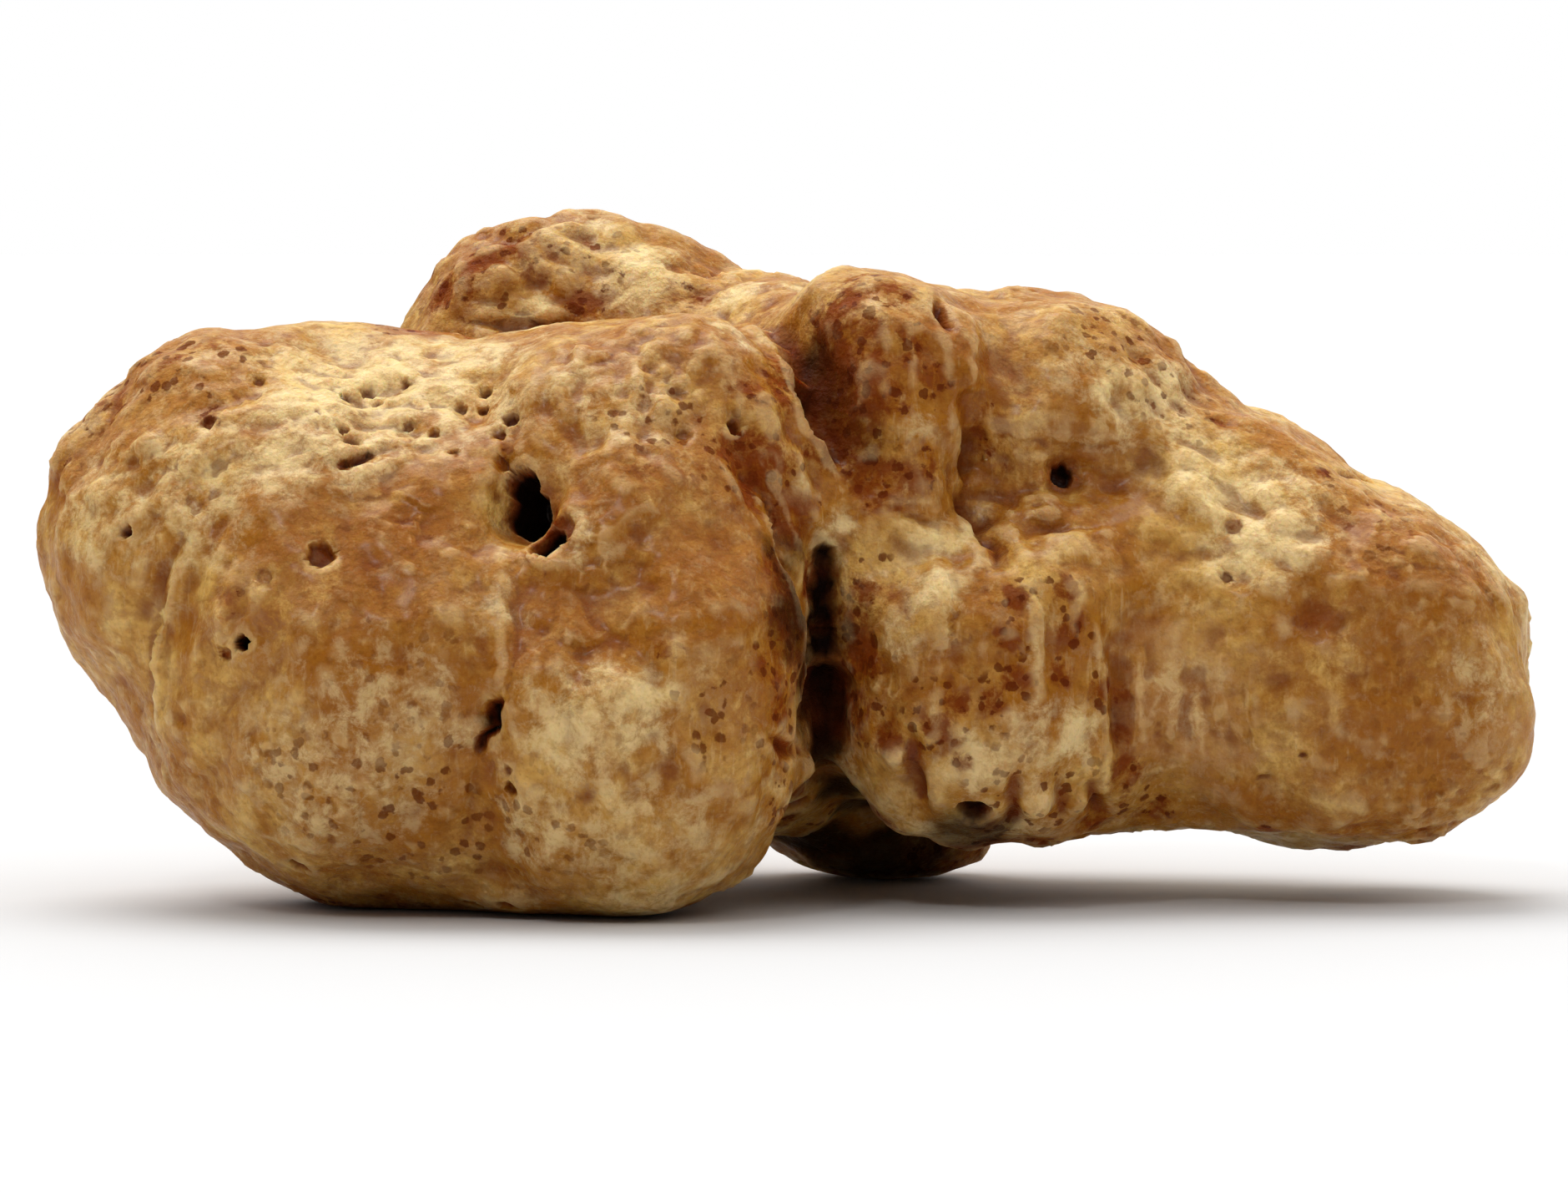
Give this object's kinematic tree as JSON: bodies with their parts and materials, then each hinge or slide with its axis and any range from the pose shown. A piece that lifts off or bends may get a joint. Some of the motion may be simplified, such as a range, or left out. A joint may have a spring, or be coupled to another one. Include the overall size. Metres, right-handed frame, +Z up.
{
  "type": "white truffle",
  "caption": "Whole fresh white truffle, a lobed and folded fruiting body that rests on its own low lobes.",
  "frame": {"origin": "middle of the truffle's footprint box, on the surface it rests on", "axes": "+X along its length, +Y away from its front, +Z up from the surface it rests on"},
  "size_m": [0.08, 0.0432, 0.0367],
  "materials": {
    "peridium": "satin"
  },
  "bodies": {
    "root": {"truffle": "peridium"}
  },
  "joints": []
}
